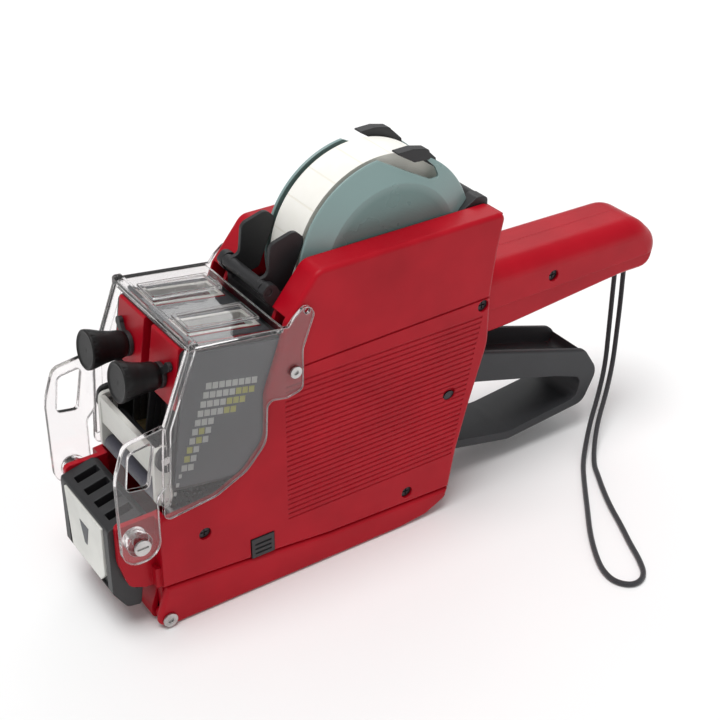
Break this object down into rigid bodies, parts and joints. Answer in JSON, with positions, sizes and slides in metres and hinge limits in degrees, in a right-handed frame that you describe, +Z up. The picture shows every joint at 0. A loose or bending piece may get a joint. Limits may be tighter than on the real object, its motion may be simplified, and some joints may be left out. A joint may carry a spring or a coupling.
{
  "type": "price labeling gun",
  "caption": "Hand-held labeling gun with a squeeze lever, a roll holder, a swinging two-line print head under a clear cover, and a wrist lanyard.",
  "frame": {"origin": "centre of the flat resting face under the body, on the mid plane", "axes": "+X to the nose where labels come out, +Y to the left side, +Z up from the resting face"},
  "size_m": [0.2414, 0.1259, 0.1436],
  "materials": {
    "red_plastic": "satin moulded ABS",
    "black_plastic": "matte moulded",
    "dark_grey_plastic": "matte printed plate",
    "clear_plastic": "clear moulded polycarbonate",
    "teal_plastic": "translucent satin",
    "white_plastic": "satin moulded",
    "label_paper": "matte paper edges",
    "core_card": "wound card",
    "steel": "turned steel",
    "spring_steel": "drawn wire",
    "band_rubber": "moulded rubber",
    "ink_felt": "ink-soaked felt",
    "cord_nylon": "braided nylon"
  },
  "bodies": {
    "housing": {"left_housing": "red_plastic", "right_housing": "red_plastic", "housing_screws": "steel", "base_hinge_pins": "steel", "trigger_pin": "steel", "spring_anchor": "black_plastic", "trigger_spring": "spring_steel", "head_pivot_shaft": "steel", "platen": "steel", "feed_axle": "steel", "nose_block": "black_plastic", "nose_plate": "white_plastic", "guide_bracket": "black_plastic", "holder_pins": "steel", "cover_screws": "steel", "lanyard_anchor": "black_plastic", "lanyard_cord": "cord_nylon", "latch_spring_left": "spring_steel", "latch_spring_right": "spring_steel"},
    "bottom_cover": {"bottom_cover": "red_plastic"},
    "latch_left": {"latch_left": "black_plastic"},
    "latch_right": {"latch_right": "black_plastic"},
    "trigger": {"trigger_lever": "black_plastic", "lever_link_pin": "steel"},
    "drive_link": {"drive_link": "steel"},
    "print_head": {"head_frame": "black_plastic", "head_link_pin": "steel", "print_bands_left": "band_rubber", "print_bands_right": "band_rubber", "band_wheels_left": "dark_grey_plastic", "band_wheels_right": "dark_grey_plastic", "type_bar_left": "steel", "type_bar_right": "steel", "head_case_left": "red_plastic", "head_case_right": "red_plastic", "side_plate_left": "dark_grey_plastic", "side_plate_right": "dark_grey_plastic", "head_top_plate": "dark_grey_plastic", "ink_arm_pins": "steel"},
    "selected_wheel_left": {"selected_wheel_left": "dark_grey_plastic"},
    "selected_wheel_right": {"selected_wheel_right": "dark_grey_plastic"},
    "selector_left": {"selector_slide_left": "black_plastic"},
    "selector_right": {"selector_slide_right": "black_plastic"},
    "knob_left": {"knob_left": "black_plastic"},
    "knob_right": {"knob_right": "black_plastic"},
    "ink_arm": {"ink_arm": "white_plastic", "ink_axle": "steel"},
    "ink_roller": {"ink_roller": "ink_felt"},
    "feed": {"feed_wheel": "black_plastic", "feed_ratchet": "black_plastic"},
    "guide_lever": {"guide_lever": "black_plastic"},
    "roll_holder": {"holder_bracket": "black_plastic", "roll_disc_left": "teal_plastic", "roll_disc_right": "teal_plastic", "disc_tab_left": "black_plastic", "disc_tab_right": "black_plastic"},
    "label_roll": {"roll_core": "core_card", "label_roll": "label_paper"},
    "clear_cover": {"clear_cover": "clear_plastic", "cover_rivets": "steel"}
  },
  "joints": [
    {"name": "trigger_squeeze", "type": "hinge", "parent": "housing", "child": "trigger", "pos_m": [-0.066, 0, 0.05], "axis": [0, 1, 0], "range_deg": [0, 14], "stiffness_Nm_per_rad": 0.9, "springref_deg": -34.38, "deforming": ["trigger_spring"]},
    {"name": "drive_link_swing", "type": "hinge", "parent": "trigger", "child": "drive_link", "pos_m": [-0.066, 0, 0.04143], "axis": [0, 1, 0], "range_deg": [-14, 0]},
    {"name": "head_swing", "type": "hinge", "parent": "housing", "child": "print_head", "pos_m": [-0.015, 0, 0.062], "axis": [0, 1, 0], "range_deg": [0, 5]},
    {"name": "ink_arm_swing", "type": "hinge", "parent": "print_head", "child": "ink_arm", "pos_m": [0.045, 0, 0.066], "axis": [0, -1, 0], "range_deg": [0, 60]},
    {"name": "ink_roller_spin", "type": "hinge", "parent": "ink_arm", "child": "ink_roller", "pos_m": [0.0454, 0, 0.0495], "axis": [0, 1, 0], "continuous": true},
    {"name": "feed_spin", "type": "hinge", "parent": "housing", "child": "feed", "pos_m": [0.02, 0, 0.026], "axis": [0, 1, 0], "continuous": true},
    {"name": "holder_tilt", "type": "hinge", "parent": "housing", "child": "roll_holder", "pos_m": [-0.084, 0, 0.108], "axis": [0, -1, 0], "range_deg": [0, 50]},
    {"name": "roll_spin", "type": "hinge", "parent": "roll_holder", "child": "label_roll", "pos_m": [-0.0475, 0, 0.1075], "axis": [0, 1, 0], "continuous": true},
    {"name": "guide_tilt", "type": "hinge", "parent": "housing", "child": "guide_lever", "pos_m": [0.001, 0, 0.109], "axis": [0, 1, 0], "range_deg": [0, 35], "stiffness_Nm_per_rad": 0.02, "springref_deg": -17.19},
    {"name": "cover_open", "type": "hinge", "parent": "housing", "child": "clear_cover", "pos_m": [0.0578, 0, 0.0398], "axis": [0, 1, 0], "range_deg": [0, 95]},
    {"name": "base_open", "type": "hinge", "parent": "housing", "child": "bottom_cover", "pos_m": [0.0493, 0, 0.0034], "axis": [0, -1, 0], "range_deg": [0, 75]},
    {"name": "latch_left_press", "type": "slide", "parent": "housing", "child": "latch_left", "axis": [0, -1, 0], "range_m": [0, 0.0025], "stiffness_N_per_m": 600, "springref_m": -0.001, "deforming": ["latch_spring_left"]},
    {"name": "selector_left_pull", "type": "slide", "parent": "print_head", "child": "selector_left", "axis": [0.9882, 0, 0.153], "range_m": [0, 0.0216]},
    {"name": "knob_left_turn", "type": "hinge", "parent": "selector_left", "child": "knob_left", "pos_m": [0.0542, 0.0115, 0.0922], "axis": [0.9882, 0, 0.153], "continuous": true},
    {"name": "selected_wheel_left_turn", "type": "hinge", "parent": "print_head", "child": "selected_wheel_left", "pos_m": [0.0542, 0.0115, 0.0922], "axis": [0.9882, 0, 0.153], "continuous": true},
    {"name": "latch_right_press", "type": "slide", "parent": "housing", "child": "latch_right", "axis": [0, 1, 0], "range_m": [0, 0.0025], "stiffness_N_per_m": 600, "springref_m": -0.001, "deforming": ["latch_spring_right"]},
    {"name": "selector_right_pull", "type": "slide", "parent": "print_head", "child": "selector_right", "axis": [0.9882, 0, 0.153], "range_m": [0, 0.0216]},
    {"name": "knob_right_turn", "type": "hinge", "parent": "selector_right", "child": "knob_right", "pos_m": [0.0542, -0.0115, 0.0922], "axis": [0.9882, 0, 0.153], "continuous": true},
    {"name": "selected_wheel_right_turn", "type": "hinge", "parent": "print_head", "child": "selected_wheel_right", "pos_m": [0.0542, -0.0115, 0.0922], "axis": [0.9882, 0, 0.153], "continuous": true}
  ],
  "couplings": [
    {"joint": "head_swing", "follows": "trigger_squeeze", "ratio": 0.35708},
    {"joint": "drive_link_swing", "follows": "trigger_squeeze", "ratio": -1},
    {"joint": "ink_arm_swing", "follows": "trigger_squeeze", "ratio": 4.2857},
    {"joint": "selected_wheel_left_turn", "follows": "knob_left_turn", "ratio": 1},
    {"joint": "selected_wheel_right_turn", "follows": "knob_right_turn", "ratio": 1}
  ]
}
